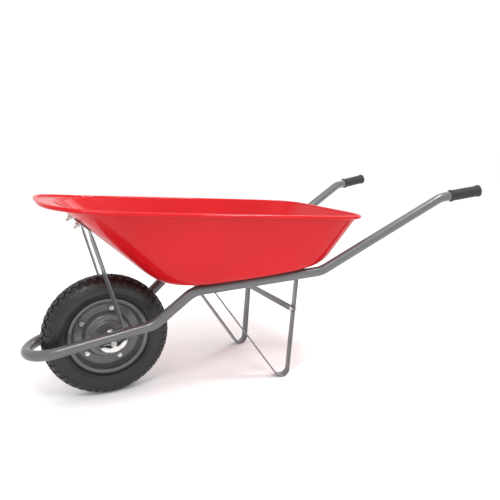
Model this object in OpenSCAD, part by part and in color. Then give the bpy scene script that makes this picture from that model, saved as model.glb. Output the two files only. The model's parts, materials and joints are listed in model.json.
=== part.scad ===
// Builder's wheelbarrow: pressed steel tray, one bent-tube frame, strip legs and one pneumatic wheel.
// +X runs from the wheel to the grips, +Z is up. The origin is under the middle, on the ground.
// Inside the modules X is measured from the wheel's axle and placed() shifts the part to its origin.
// "Left" is the -Y side, as seen by a person who holds the grips and looks forward.

/* [Wheel] */
// Outside radius of the tyre
tyre_r = 175; // [170:1:182]
// Widest half width of the tyre
tyre_half_w = 43; // [41:0.5:45]
// Outside radius of the rim flange
flange_r = 109; // [107:1:111]
// Half of the distance between the flanges' outer faces
rim_half_w = 31; // [30:0.5:33]
// Thickness of the pressed rim sheet
rim_t = 2; // [1.5:0.5:2.5]
// Radius of the rim bolt circle
rim_bolt_circle_r = 77; // [76:1:79]
// Number of rim bolts
rim_bolt_count = 5; // [4:1:8]

/* [Hub] */
// Radius of the axle rod
axle_r = 8; // [7:0.5:8.5]
// Outside radius of the hub tube
hub_r = 22; // [21:0.5:24]
// Half length of the hub tube
hub_half_l = 58; // [54:1:60]
// Outside radius of the ball bearings
bearing_r = 17.5; // [17:0.5:18]
// Width of the ball bearings
bearing_w = 11; // [10:1:12]

/* [Frame] */
// Outside diameter of the frame tube
tube_d = 30; // [28:0.5:32]
// Wall of the frame tube
tube_wall = 1.8; // [1.5:0.1:2.5]
// Radius of the loop in front of the wheel
nose_r = 80.5; // [78:0.5:88]
// From the axle to the front of the loop's centre line
nose_reach = 210.3; // [206:1:225]
// Height of the rail's underside above the axle's centre line
rail_lift = 2.5; // [1:0.5:6]
// Rise of the front straight, in degrees
front_rise = 9.34; // [8:0.1:10]
// Radius of the bends in the rails
bend_r = 80; // [60:1:90]

/* [Grips] */
// Outside radius of the grip's body
grip_r = 17.4; // [16.8:0.1:19]
// Radius of the flanges at the grip's ends
grip_flange_r = 19.3; // [19:0.1:22]
// Length of the grip
grip_l = 110; // [95:1:130]

/* [Legs] */
// Width of the leg strip
leg_w = 30; // [25:1:32]
// Thickness of the leg strip
leg_t = 4; // [3:0.5:5]
// Outside radius of the bent foot
foot_r = 24; // [20:1:28]
// Lean of the leg's front arm from the vertical, in degrees
front_arm_lean = 33; // [31:0.5:34]
// Lean of the leg's rear arm from the vertical, in degrees
rear_arm_lean = 6.3; // [5:0.1:8]
// Height of the leg crossbar's middle
crossbar_z = 212; // [180:1:240]
// Height of the crossbar strip
crossbar_h = 20; // [18:1:25]

/* [Tray] */
// Thickness of the tray sheet
tray_t = 1.5; // [1.2:0.1:2]
// Radius of the rolled bead round the rim
bead_r = 5.7; // [5:0.1:7]
// From the axle forward to the middle of the front bead
rim_front = 148; // [140:1:152]
// From the axle back to the middle of the rear bead
rim_rear = 748; // [720:1:770]
// Reach of the flat lip between the front wall and the front bead
front_lip = 35; // [20:1:45]
// Half width of the rim level with the axle
rim_half_w0 = 241; // [235:1:250]
// Height of the rim's side line level with the axle
rim_z0 = 549.5; // [540:0.5:560]

/* [Hardware] */
// Radius of the bolts' shanks
bolt_r = 4; // [3.5:0.25:4.5]
// Width across flats of the bolt heads and nuts
hex_af = 13; // [12:0.5:14]
// Radial clearance of a bolt in its hole
bolt_clear = 0.4; // [0.3:0.05:0.5]

/* [Hidden] */
$fn = 96;

tube_r = tube_d / 2;
axle_z = tyre_r;
rail_over_axle = tube_r + rail_lift;
fit = 0.04;         // radial clearance of a shaft, ring or sleeve in its seat
seat_gap = 0.1;     // air between faces of one body that rest on each other
end_cut = 1;        // how far a cutting tool runs past the face that it cuts

// ---- Frame tube: its centre line, one corner per bend, on the -Y side ----
splay = 5.54;       // each front straight leaves the loop at this angle in plan
// The front straights and the loop lie in one plane, which rises to the rear: u runs up it from the axle
loop_u = nose_r - nose_reach / cos(front_rise);
loop_end_u = loop_u - nose_r * sin(splay);
function front_y(u) = nose_r * cos(splay) + (u - loop_end_u) * tan(splay);
function front_point(u) = [u * cos(front_rise), -front_y(u),
                           axle_z + rail_over_axle + u * sin(front_rise)];
rail_half_gap = front_y(0);
knee_low_u = 114;
knee_high = [224.8, -124.6, 299.8];
handle_knee = [594.7, -220.3, 335.1];
grip_knee = [989, -300.7, 545];
grip_seat = [1122.3, -326.8, 562.2];
grip_dir = unit(grip_seat - grip_knee);
bend_swell = 0.05;  // the tube is this much thicker where it is bent
bend_lap = 0.5;     // how far a straight runs into its bend
grip_cap_t = 8;
grip_end = grip_seat + grip_dir * grip_cap_t;
tube_end = grip_seat + grip_dir * 2;
rail = [front_point(loop_end_u), front_point(knee_low_u), knee_high, handle_knee, grip_knee, tube_end];

// The origin is midway between the loop's front and the end of the grips' flanges
front_end = -nose_reach - tube_r;
rear_end = grip_end[0] + grip_flange_r * sqrt(1 - grip_dir[0] * grip_dir[0]);
mid_x = (front_end + rear_end) / 2;

// ---- Axle hardware, in a frame turned with the rail's rise ----
rail_drop = rail_over_axle * cos(front_rise);
dent_r = axle_r + 0.1;
saddle_t = 3;
saddle_w = 28;
saddle_half_span = 36;
saddle_flat = 11;
saddle_boss_r = 8.5;        // the round swelling in the middle of the outer flange
saddle_boss_low = 14;
spacer_r = 11;
axle_half_l = rail_half_gap + saddle_w / 2 - saddle_t - seat_gap;
washer_t = 1.6;
washer_r = 9.5;
nut_h = 6.5;
head_h = 5.3;

// ---- Bearings ----
ball_r = 2.9;
ball_pitch_r = (axle_r + bearing_r) / 2;
ball_count = 9;
race_t = 3.2;
bearing_mid = hub_half_l - bearing_w / 2;
hub_shoulder_r = bearing_r - 3;

// ---- Tray: floor, walls and rim ----
strap_t = 4;
tray_over_rail = strap_t + tray_t + 2 * seat_gap;
floor_tilt = atan((handle_knee[2] - knee_high[2]) / (handle_knee[0] - knee_high[0]));
floor_slope = tan(floor_tilt);
floor_z0 = knee_high[2] + tube_r / cos(floor_tilt) + tray_over_rail - floor_slope * knee_high[0];
rim_slope = 0.0785;
rim_lift = 8;               // extra rise of the rim at the very front
rim_lift_from = 50;
rim_mid_x = 250;            // where the front and the rear half of the outline meet
rim_taper = 0.05;           // widening of the rim towards the rear
floor_front = 297 - rim_front;
floor_rear = rim_rear - 96;
floor_mid_x = 332;
floor_half_w0 = rim_half_w0 - 113.6;    // half width of the floor's outline, level with the axle
floor_taper = 0.198;
front_power = 4.2;          // squareness of an outline: 2 is an ellipse, more is squarer
wall_front_power = 3.55;
rear_power = 7;
floor_front_power = 3.4;
floor_rear_power = 4;
ledge = 1.5;                // flat strip between the wall and the bead, but for the front lip
blend = 0.19;               // share of the wall that the blend into the floor takes up
around = 72;
blend_rings = 6;
wall_rings = 4;
bead_rings = 8;

function unit(v) = v / norm(v);
function spow(a, e) = sign(a) * pow(abs(a), e);
function floor_z(x) = floor_z0 + floor_slope * x;
function rim_z(x) = rim_z0 - rim_slope * x
    + rim_lift * pow(max(0, rim_lift_from - x) / (rim_lift_from + rim_front), 2);
// A rounded outline: each half is a superellipse, and its width grows with x
function outline(a, mid, front, rear, half_w0, taper, power_f, power_r) =
    let (n = cos(a) < 0 ? power_f : power_r,
         reach = cos(a) < 0 ? mid - front : rear - mid,
         x = mid + reach * spow(cos(a), 2 / n))
    [x, (half_w0 + taper * x) * spow(sin(a), 2 / n)];
function rim_at(a, grow) = outline(a, rim_mid_x, -rim_front - grow, rim_rear + grow,
                                   rim_half_w0 + grow, rim_taper, front_power, rear_power);
function floor_at(a) = outline(a, floor_mid_x, floor_front, floor_rear,
                               floor_half_w0, floor_taper, floor_front_power, floor_rear_power);
// The wall's upper edge, inside the bead by the ledge and, in front, by the lip
function wall_top_at(a) = outline(a, rim_mid_x, -rim_front + bead_r + front_lip, rim_rear - bead_r - ledge,
                                  rim_half_w0 - bead_r - ledge, rim_taper, wall_front_power, rear_power);
// Outward direction in plan at angle a
function rim_out(a) = let (d = rim_at(a + 0.5, 0) - rim_at(a - 0.5, 0)) unit([d[1], -d[0]]);
// A point of the sheet: p is the share of the wall's run, q the share of its height
function sheet(a, p, q) =
    let (f = floor_at(a), r = wall_top_at(a), run = r - f,
         x = f[0] + run[0] * p, y = f[1] + run[1] * p)
    [x, y, floor_z(f[0] + run[0] * min(p, 0)) + q * (rim_z(r[0]) - floor_z(f[0]))];
// The same point on the sheet's outside
function sheet_out(a, p, q) =
    let (o = rim_out(a), s = min(1, q / blend))
    sheet(a, p, q) + tray_t * [o[0] * s, o[1] * s, -1 + 0.7 * s];
function blend_p(i) = let (t = i / blend_rings) blend * (t * t - (1 - t) * (1 - t));
function blend_q(i) = let (t = i / blend_rings) blend * t * t;
function wall_q(i) = blend + (1 - blend) * i / wall_rings;
function bead_point(a, i) =
    let (turn = 180 - i * 300 / bead_rings, c = rim_at(a, 0), o = rim_out(a))
    [c[0] + o[0] * bead_r * cos(turn), c[1] + o[1] * bead_r * cos(turn),
     rim_z(rim_at(a, -bead_r)[0]) + bead_r * sin(turn)];
ring_angles = [for (i = [0 : around - 1]) i * 360 / around];
tray_rings = concat(
    [for (i = [0 : blend_rings]) [for (a = ring_angles) sheet(a, blend_p(i), blend_q(i))]],
    [for (i = [1 : wall_rings]) [for (a = ring_angles) sheet(a, wall_q(i), wall_q(i))]],
    [for (i = [0 : bead_rings]) [for (a = ring_angles) bead_point(a, i)]],
    [[for (a = ring_angles) sheet(a, 1, 1) + [0, 0, -tray_t]]],
    [for (i = [wall_rings - 1 : -1 : 1]) [for (a = ring_angles) sheet_out(a, wall_q(i), wall_q(i))]],
    [for (i = [blend_rings : -1 : 0]) [for (a = ring_angles) sheet_out(a, blend_p(i), blend_q(i))]]);

// ---- Tray fasteners ----
tray_bolt_x = [250, 541];
tray_bolt_y = [85, 120];
function rail_y(x) = -knee_high[1] - (handle_knee[1] - knee_high[1])
    * (x - knee_high[0]) / (handle_knee[0] - knee_high[0]);
function rail_top_z(x) = knee_high[2] + floor_slope * (x - knee_high[0]) + tube_r / cos(floor_tilt);
strap_w = 30;

// ---- Legs ----
foot_x = 483.2;
leg_plan_x = 279;
leg_plan_y = 137;
leg_plan_slope = 0.14;
leg_yaw = atan(leg_plan_slope);
leg_mid_r = foot_r - leg_t / 2;
crossbar_t = 3;
crossbar_x = foot_x + leg_mid_r * cos(rear_arm_lean)
    + (crossbar_z - foot_r + leg_mid_r * sin(rear_arm_lean)) * tan(rear_arm_lean);
function leg_y(x) = leg_plan_y + leg_plan_slope * (x - leg_plan_x);

// ---- Front braces ----
brace_w = 22;
brace_t = 3;
brace_foot_x = 36;
brace_bolt_share = 0.81;    // height of the brace's bolt on the front wall
brace_angle = 190;          // where that bolt stands on the tray's outline
brace_tab_up = 16;
brace_tab_down = 32;
brace_bolt_tail = 10;
brace_turn = 18;            // twist of the brace between its two flat ends, in degrees

module placed() {
    translate([-mid_x, 0, 0]) children();
}

module both_sides() {
    children();
    mirror([0, 1, 0]) children();
}

// Turns the Z axis to the direction d and moves the origin to p
module aim(p, d) {
    b = acos(d[2] / norm(d));
    c = atan2(d[1], d[0]);
    translate(p) rotate([0, b, c]) children();
}

module rod(a, b, r) {
    aim(a, b - a) cylinder(r = r, h = norm(b - a));
}

// Length of straight tube that a bend takes from each side of its corner
function bend_cut(a, b, c) = bend_r * tan(turn_angle(a, b, c) / 2);
function turn_angle(a, b, c) = acos(unit(b - a) * unit(c - b));

// The arc that joins two straights at corner b, as a part of a ring
module bend(a, b, c, r) {
    u = unit(b - a);
    w = unit(c - b);
    n = unit(cross(u, w));
    m = cross(n, u);
    s = b - u * bend_cut(a, b, c);
    o = s + m * bend_r;
    multmatrix([[-m[0], u[0], n[0], o[0]],
                [-m[1], u[1], n[1], o[1]],
                [-m[2], u[2], n[2], o[2]],
                [0, 0, 0, 1]])
        rotate_extrude(angle = turn_angle(a, b, c)) translate([bend_r, 0]) circle(r = r + bend_swell, $fn = 48);
}

// One rail from the loop's end to the grip: straights and bends of radius r
module rail_run(r, extra) {
    last = len(rail) - 1;
    for (i = [1 : last - 1]) bend(rail[i - 1], rail[i], rail[i + 1], r);
    for (i = [0 : last - 1]) {
        u = unit(rail[i + 1] - rail[i]);
        from = i == 0 ? 0 : bend_cut(rail[i - 1], rail[i], rail[i + 1]);
        to = i == last - 1 ? bend_lap - extra : bend_cut(rail[i], rail[i + 1], rail[i + 2]);
        rod(rail[i] + u * (from - bend_lap), rail[i + 1] - u * (to - bend_lap), r, $fn = 48);
    }
}

// The loop in front of the wheel, in the plane of the front straights
module nose_loop(r) {
    translate([0, 0, axle_z + rail_over_axle]) rotate([0, -front_rise, 0])
        translate([loop_u, 0, 0])
            rotate([0, 0, 90 + splay])
                rotate_extrude(angle = 180 - 2 * splay) translate([nose_r, 0])
                    circle(r = r + bend_swell, $fn = 48);
}

module tube_solid(r, extra) {
    nose_loop(r);
    both_sides() rail_run(r, extra);
}

// ---- Sub-parts of the frame ----
// Turned with the rail's rise, with its origin on the axle's line under the left rail
module at_left_rail() {
    translate([0, -rail_half_gap, axle_z]) rotate([0, -front_rise, 0]) children();
}

module frame_tube() {
    color("gray") placed() difference() {
        tube_solid(tube_r, 0);
        difference() {
            tube_solid(tube_r - tube_wall, end_cut);
            both_sides() axle_dent(dent_r + tube_wall);
        }
        both_sides() axle_dent(dent_r);
        both_sides() at_left_rail() cylinder(r = bolt_r + bolt_clear, h = 4 * tube_d, center = true);
    }
}

// The dent in the rail's underside that the axle lies in
module axle_dent(r) {
    translate([0, -rail_half_gap, axle_z]) rotate([90, 0, 0]) cylinder(r = r, h = 2 * tube_d, center = true);
}

// A frame that lies in the floor's plane, on the tray's centre line at x
module on_floor(x) {
    translate([x, 0, floor_z(x)]) rotate([0, -floor_tilt, 0]) children();
}

module cross_strap(x, y) {
    half = rail_y(x);
    color("gray") placed() on_floor(x) difference() {
        translate([-strap_w / 2, -half, -tray_t - seat_gap - strap_t]) cube([strap_w, 2 * half, strap_t]);
        both_sides() translate([0, y, 0]) cylinder(r = bolt_r + bolt_clear, h = tube_d, center = true);
    }
}

module front_cross_strap() cross_strap(tray_bolt_x[0], tray_bolt_y[0]);
module rear_cross_strap() cross_strap(tray_bolt_x[1], tray_bolt_y[1]);

module tray_shell() {
    count = len(tray_rings);
    middle = (floor_front + floor_rear) / 2;
    points = concat([for (ring = tray_rings) each ring],
                    [[middle, 0, floor_z(middle)], [middle, 0, floor_z(middle) - tray_t]]);
    top = count * around;
    walls = [for (k = [0 : count - 2]) for (i = [0 : around - 1])
        let (j = (i + 1) % around, p = k * around, n = p + around)
            each [[p + i, n + i, n + j], [p + i, n + j, p + j]]];
    inside = [for (i = [0 : around - 1]) [top, i, (i + 1) % around]];
    outside = [for (i = [0 : around - 1])
        let (p = (count - 1) * around) [top + 1, p + (i + 1) % around, p + i]];
    polyhedron(points, concat(walls, inside, outside), convexity = 8);
}

module tray() {
    color("red") placed() difference() {
        tray_shell();
        tray_bolt_places() cylinder(r = bolt_r + bolt_clear, h = tube_d, center = true);
        both_sides() at_brace_bolt() cylinder(r = bolt_r + bolt_clear, h = tube_d, center = true);
    }
}

// ---- Fasteners: each stands on the plane z = 0 with its shank along -Z ----
module hex_nut(h) {
    difference() {
        cylinder(d = hex_af / cos(30), h = h, $fn = 6);
        translate([0, 0, -end_cut]) cylinder(r = bolt_r + fit, h = h + 2 * end_cut);
    }
}

module flat_washer() {
    difference() {
        cylinder(r = washer_r, h = washer_t);
        translate([0, 0, -end_cut]) cylinder(r = bolt_r + bolt_clear, h = washer_t + 2 * end_cut);
    }
}

module hex_bolt(l) {
    cylinder(d = hex_af / cos(30), h = head_h, $fn = 6);
    translate([0, 0, -l]) cylinder(r = bolt_r, h = l);
}

dome_head_r = 9;
dome_head_h = 3.5;
dome_r = (dome_head_r * dome_head_r + dome_head_h * dome_head_h) / (2 * dome_head_h);

module dome_bolt(l) {
    intersection() {
        translate([0, 0, dome_head_h - dome_r]) sphere(r = dome_r);
        cylinder(r = dome_head_r + end_cut, h = dome_head_h);
    }
    translate([0, 0, -l]) cylinder(r = bolt_r, h = l);
}

module tray_bolt_places() {
    for (i = [0, 1]) on_floor(tray_bolt_x[i]) both_sides() translate([0, tray_bolt_y[i], 0]) children();
}

tray_grip_depth = tray_t + seat_gap + strap_t + seat_gap;
bolt_tail = 4;

module tray_bolts() {
    l = tray_grip_depth + washer_t + nut_h + bolt_tail;
    color("silver") placed() tray_bolt_places() translate([0, 0, seat_gap]) dome_bolt(l + seat_gap);
}

module tray_washers() {
    color("silver") placed() tray_bolt_places() translate([0, 0, -tray_grip_depth - washer_t]) flat_washer();
}

module tray_nuts() {
    z = tray_grip_depth + washer_t + seat_gap + nut_h;
    color("silver") placed() tray_bolt_places() translate([0, 0, -z]) hex_nut(nut_h);
}

// ---- Legs ----
function foot_point(a, r) = [foot_x + r * cos(a), foot_r + r * sin(a)];
front_side = 180 + front_arm_lean;
rear_side = 360 - rear_arm_lean;
front_arm_l = (rail_top_z(leg_plan_x) - tube_r - foot_r) / cos(front_arm_lean) + tube_r;
rear_arm_l = (rail_top_z(tray_bolt_x[1]) - foot_r) / cos(rear_arm_lean) + leg_mid_r * sin(rear_arm_lean) - 2;
foot_steps = 16;

// One edge of the bent strip, from the front arm's top round the foot to the rear arm's top
function leg_edge(r) = concat(
    [foot_point(front_side, r) + front_arm_l * [-sin(front_arm_lean), cos(front_arm_lean)]],
    [for (i = [0 : foot_steps]) foot_point(front_side + (rear_side - front_side) * i / foot_steps, r)],
    [foot_point(rear_side, r) + rear_arm_l * [sin(rear_arm_lean), cos(rear_arm_lean)]]);
leg_inner_edge = leg_edge(foot_r - leg_t);
leg_outline = concat(leg_edge(foot_r), [for (i = [len(leg_inner_edge) - 1 : -1 : 0]) leg_inner_edge[i]]);

// The upright plane that the left leg stands in
module in_leg_plane() {
    translate([leg_plan_x, -leg_plan_y, 0]) rotate([0, 0, -leg_yaw]) translate([-leg_plan_x, 0, 0]) children();
}

module left_leg_solid() {
    difference() {
        in_leg_plane() rotate([90, 0, 0]) linear_extrude(leg_w, center = true) polygon(leg_outline);
        rod(knee_high, handle_knee, tube_r + seat_gap);
        at_crossbar_bolt() cylinder(r = bolt_r + bolt_clear, h = tube_d, center = true);
    }
}

module left_leg() {
    color("gray") placed() left_leg_solid();
}

module right_leg() {
    color("gray") placed() mirror([0, 1, 0]) left_leg_solid();
}

// On the middle of the left rear arm at the crossbar's height, with Z pointing forwards
module at_crossbar_bolt() {
    in_leg_plane() translate([crossbar_x, 0, crossbar_z]) rotate([0, rear_arm_lean, 0]) rotate([0, -90, 0])
        children();
}

crossbar_off = leg_t / 2 + seat_gap;

module leg_crossbar() {
    half = leg_y(crossbar_x) - leg_w / 2 * cos(leg_yaw);
    in = leg_w / 2 * sin(leg_yaw);
    color("gray") placed() difference() {
        union() {
            both_sides() at_crossbar_bolt()
                translate([-crossbar_h / 2, -leg_w / 2, crossbar_off]) cube([crossbar_h, leg_w, crossbar_t]);
            translate([crossbar_x, 0, crossbar_z]) rotate([0, rear_arm_lean, 0])
                translate([-crossbar_off - crossbar_t - in, -half, -crossbar_h / 2])
                    cube([crossbar_t, 2 * half, crossbar_h]);
        }
        both_sides() at_crossbar_bolt() cylinder(r = bolt_r + bolt_clear, h = tube_d, center = true);
    }
}

module crossbar_bolts() {
    top = crossbar_off + crossbar_t + seat_gap;
    color("silver") placed() both_sides() at_crossbar_bolt()
        translate([0, 0, top]) hex_bolt(top + leg_t / 2 + nut_h + bolt_tail);
}

module crossbar_nuts() {
    color("silver") placed() both_sides() at_crossbar_bolt()
        translate([0, 0, -leg_t / 2 - seat_gap - nut_h]) hex_nut(nut_h);
}

// ---- Front braces ----
brace_at = sheet_out(brace_angle, brace_bolt_share, brace_bolt_share);
brace_up = unit(sheet(brace_angle, 1, 1) - sheet(brace_angle, blend, blend));
brace_side = unit(sheet(brace_angle + 1, brace_bolt_share, brace_bolt_share)
    - sheet(brace_angle - 1, brace_bolt_share, brace_bolt_share));
brace_out = unit(cross(brace_side, brace_up));
brace_across = cross(brace_up, brace_out);
brace_seat = 0.4;           // air between the brace's flat end and the pressed wall

// On the outside of the tray's wall at the left brace's bolt: Z points out of the wall, X up it
module at_brace_bolt() {
    multmatrix([[brace_up[0], -brace_across[0], brace_out[0], brace_at[0]],
                [brace_up[1], -brace_across[1], brace_out[1], brace_at[1]],
                [brace_up[2], -brace_across[2], brace_out[2], brace_at[2]],
                [0, 0, 0, 1]])
        children();
}

brace_low = at_rail_frame([brace_foot_x, 0, rail_drop + tube_r + seat_gap + brace_t / 2]);
brace_high = brace_at - brace_up * brace_tab_down + brace_out * (brace_seat + brace_t / 2);
function at_rail_frame(p) = [p[0] * cos(front_rise) - p[2] * sin(front_rise), p[1] - rail_half_gap,
                             axle_z + p[0] * sin(front_rise) + p[2] * cos(front_rise)];
brace_hole_r = bolt_r + bolt_clear;

brace_lean = atan2(brace_high[0] - brace_low[0], brace_high[2] - brace_low[2]);
brace_tilt = asin((brace_high[1] - brace_low[1]) / norm(brace_high - brace_low));
brace_twist_l = 24;         // length over which the strip twists next to each flat end

// A slice across the strip, a hair slimmer than it, which the hulls below join
module strip_slice() {
    cube([brace_t - seat_gap, brace_w - seat_gap, end_cut], center = true);
}

// A flat end of the strip, round about the bolt and straight for a length l along X
module brace_tab(l) {
    linear_extrude(brace_t) {
        circle(d = brace_w);
        translate([0, -brace_w / 2]) square([l, brace_w]);
    }
}

// On the strut's line, at a share t of its length, with Z along it
module on_strut(t) {
    translate(brace_low * (1 - t) + brace_high * t)
        rotate([-brace_tilt, 0, 0]) rotate([0, brace_lean, 0]) rotate([0, 0, brace_turn]) children();
}

module left_brace_solid() {
    strut_l = norm(brace_high - brace_low);
    t = brace_twist_l / strut_l;
    difference() {
        union() {
            at_left_rail() translate([0, 0, rail_drop + tube_r + seat_gap]) brace_tab(brace_foot_x);
            at_brace_bolt() translate([brace_tab_up - brace_w / 2, 0, brace_seat])
                rotate([0, 0, 180]) brace_tab(brace_tab_down + brace_tab_up - brace_w / 2);
            hull() {
                translate(brace_low) rotate([0, 90 - front_rise, 0]) strip_slice();
                on_strut(t) strip_slice();
            }
            on_strut(t) translate([-brace_t / 2, -brace_w / 2, -end_cut])
                cube([brace_t, brace_w, strut_l * (1 - 2 * t) + 2 * end_cut]);
            hull() {
                on_strut(1 - t) strip_slice();
                at_brace_bolt() translate([-brace_tab_down, 0, brace_seat + brace_t / 2])
                    rotate([0, 90, 0]) strip_slice();
            }
        }
        at_left_rail() cylinder(r = brace_hole_r, h = 4 * tube_d, center = true);
        at_brace_bolt() cylinder(r = brace_hole_r, h = tube_d, center = true);
    }
}

module left_brace() {
    color("gray") placed() left_brace_solid();
}

module right_brace() {
    color("gray") placed() mirror([0, 1, 0]) left_brace_solid();
}

module brace_bolts() {
    l = 2 * tray_t + brace_seat + brace_t + washer_t + nut_h + brace_bolt_tail + 2 * seat_gap;
    color("silver") placed() both_sides() at_brace_bolt()
        rotate([180, 0, 0]) translate([0, 0, 2 * tray_t]) dome_bolt(l);
}

module brace_washers() {
    color("silver") placed() both_sides() at_brace_bolt()
        translate([0, 0, brace_seat + brace_t + seat_gap]) flat_washer();
}

module brace_nuts() {
    color("silver") placed() both_sides() at_brace_bolt()
        translate([0, 0, brace_seat + brace_t + washer_t + 2 * seat_gap]) hex_nut(nut_h);
}

// ---- Axle and what holds it under the rails ----
saddle_top = rail_drop - tube_r - seat_gap;
saddle_low = -axle_r - seat_gap;
saddle_edge = [[-saddle_half_span, saddle_top], [-saddle_flat, saddle_low],
               [saddle_flat, saddle_low], [saddle_half_span, saddle_top]];

// One half of a flange's outline, below and beside the strap
saddle_wing = [[saddle_flat, saddle_low], [saddle_half_span - 7, saddle_top], [saddle_half_span, saddle_top - 5],
               [saddle_half_span - 11, saddle_low - 7], [saddle_flat - 2, saddle_low - 13]];

module saddle_flange() {
    polygon(concat(saddle_wing, [for (i = [len(saddle_wing) - 1 : -1 : 0]) [-saddle_wing[i][0], saddle_wing[i][1]]]));
}

module left_saddle_solid() {
    at_left_rail() difference() {
        rotate([90, 0, 0]) {
            linear_extrude(saddle_w, center = true)
                polygon(concat(saddle_edge, [for (i = [3 : -1 : 0]) saddle_edge[i] - [0, saddle_t]]));
            translate([0, 0, -saddle_w / 2]) linear_extrude(saddle_t) saddle_flange();
            translate([0, 0, saddle_w / 2 - saddle_t]) linear_extrude(saddle_t) {
                saddle_flange();
                translate([0, -saddle_boss_low]) circle(r = saddle_boss_r);
            }
        }
        cylinder(r = bolt_r + bolt_clear, h = tube_d, center = true);
    }
}

module left_axle_saddle() {
    color("gainsboro") placed() left_saddle_solid();
}

module right_axle_saddle() {
    color("gainsboro") placed() mirror([0, 1, 0]) left_saddle_solid();
}

saddle_under = saddle_low - saddle_t - seat_gap;

module saddle_bolts() {
    top = rail_drop + tube_r + brace_t + 2 * seat_gap;
    l = top - saddle_under + washer_t + nut_h + bolt_tail;
    color("silver") placed() both_sides() at_left_rail() translate([0, 0, top]) hex_bolt(l);
}

module saddle_washers() {
    color("silver") placed() both_sides() at_left_rail() translate([0, 0, saddle_under - washer_t]) flat_washer();
}

module saddle_nuts() {
    z = saddle_under - washer_t - seat_gap - nut_h;
    color("silver") placed() both_sides() at_left_rail() translate([0, 0, z]) hex_nut(nut_h);
}

// Lays what is drawn along Z on the wheel's axis, with Z towards +Y
module on_axle() {
    translate([0, 0, axle_z]) rotate([-90, 0, 0]) children();
}

module axle() {
    color("darkgray") placed() difference() {
        on_axle() cylinder(r = axle_r, h = 2 * axle_half_l, center = true);
        both_sides() at_left_rail() cylinder(r = bolt_r + bolt_clear, h = tube_d, center = true);
    }
}

module axle_spacer() {
    from = hub_half_l + seat_gap;
    to = rail_half_gap - saddle_w / 2 - seat_gap;
    difference() {
        translate([0, 0, from]) cylinder(r = spacer_r, h = to - from);
        cylinder(r = axle_r + fit, h = axle_half_l);
    }
}

module right_axle_spacer() {
    color("darkgray") placed() on_axle() axle_spacer();
}

module left_axle_spacer() {
    color("darkgray") placed() on_axle() mirror([0, 0, 1]) axle_spacer();
}

// ---- Ball bearings ----
module bearing_at(side) {
    on_axle() translate([0, 0, side * bearing_mid]) children();
}

module race(inside_r, outside_r) {
    difference() {
        cylinder(r = outside_r, h = bearing_w, center = true);
        cylinder(r = inside_r, h = bearing_w + 2 * end_cut, center = true);
        rotate_extrude() translate([ball_pitch_r, 0]) circle(r = ball_r + fit, $fn = 48);
    }
}

module inner_ring(side) {
    color("silver") placed() bearing_at(side) race(axle_r + fit, axle_r + race_t);
}

module outer_ring(side) {
    color("silver") placed() bearing_at(side) race(bearing_r - race_t, bearing_r);
}

module balls(side) {
    color("silver") placed() bearing_at(side)
        for (i = [0 : ball_count - 1]) rotate([0, 0, i * 360 / ball_count])
            translate([ball_pitch_r, 0, 0]) sphere(r = ball_r, $fn = 32);
}

module left_bearing_inner_ring() inner_ring(-1);
module right_bearing_inner_ring() inner_ring(1);
module left_bearing_outer_ring() outer_ring(-1);
module right_bearing_outer_ring() outer_ring(1);
module left_bearing_balls() balls(-1);
module right_bearing_balls() balls(1);

// ---- Wheel ----
module hub() {
    color("dimgray") placed() on_axle() difference() {
        cylinder(r = hub_r, h = 2 * hub_half_l, center = true);
        cylinder(r = hub_shoulder_r, h = 2 * hub_half_l + 2 * end_cut, center = true);
        for (side = [-1, 1]) translate([0, 0, side * (hub_half_l - bearing_w / 2 + end_cut / 2)])
            cylinder(r = bearing_r + fit, h = bearing_w + end_cut, center = true);
    }
}

// Section of a rim half as [radius, distance from the wheel's middle plane]
dome_y = 34;
step_y = 26;
dome_edge_r = 68;
seat_r = 101.6;             // bead seat of an 8 inch rim
well_r = 90;
rim_face = [[hub_r + fit, dome_y], [44, dome_y], [49, step_y], [62, step_y - 2], [dome_edge_r, rim_t],
            [well_r - 2, rim_t], [well_r + 2, rim_t + 2], [well_r + 5, 10],
            [seat_r - rim_t, 20], [seat_r - rim_t, rim_half_w - rim_t], [seat_r, rim_half_w],
            [flange_r, rim_half_w]];
rim_back = [[flange_r, rim_half_w - rim_t], [seat_r + 1, rim_half_w - rim_t], [seat_r, rim_half_w - rim_t - 1],
            [seat_r, 20], [well_r + 7.5, 10], [well_r + 3.5, 2], [well_r, seat_gap / 2],
            [dome_edge_r - 1.5, seat_gap / 2], [60.5, step_y - 4], [47.5, step_y - 2], [43, dome_y - rim_t],
            [hub_r + fit, dome_y - rim_t]];
valve_turn = 113;
valve_y = 13;
valve_r = 4;

module rim_half(side) {
    color("dimgray") placed() difference() {
        on_axle() mirror([0, 0, side < 0 ? 1 : 0]) rotate_extrude() polygon(concat(rim_face, rim_back));
        rim_bolt_places() cylinder(r = bolt_r + bolt_clear, h = tube_d, center = true);
        if (side > 0) at_valve() cylinder(r = valve_r + bolt_clear, h = tyre_r);
    }
}

first_rim_bolt = 5;

module rim_bolt_places() {
    for (i = [0 : rim_bolt_count - 1]) translate([0, 0, axle_z])
        rotate([0, -first_rim_bolt - i * 360 / rim_bolt_count, 0])
            translate([rim_bolt_circle_r, 0, 0]) rotate([90, 0, 0]) children();
}

module left_rim_half() rim_half(-1);
module right_rim_half() rim_half(1);

module rim_bolts() {
    l = 2 * rim_t + nut_h + bolt_tail;
    color("silver") placed() rim_bolt_places() rotate([180, 0, 0])
        translate([0, 0, rim_t + seat_gap]) hex_bolt(l);
}

module rim_nuts() {
    color("silver") placed() rim_bolt_places() translate([0, 0, rim_t + seat_gap]) hex_nut(nut_h);
}

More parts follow.
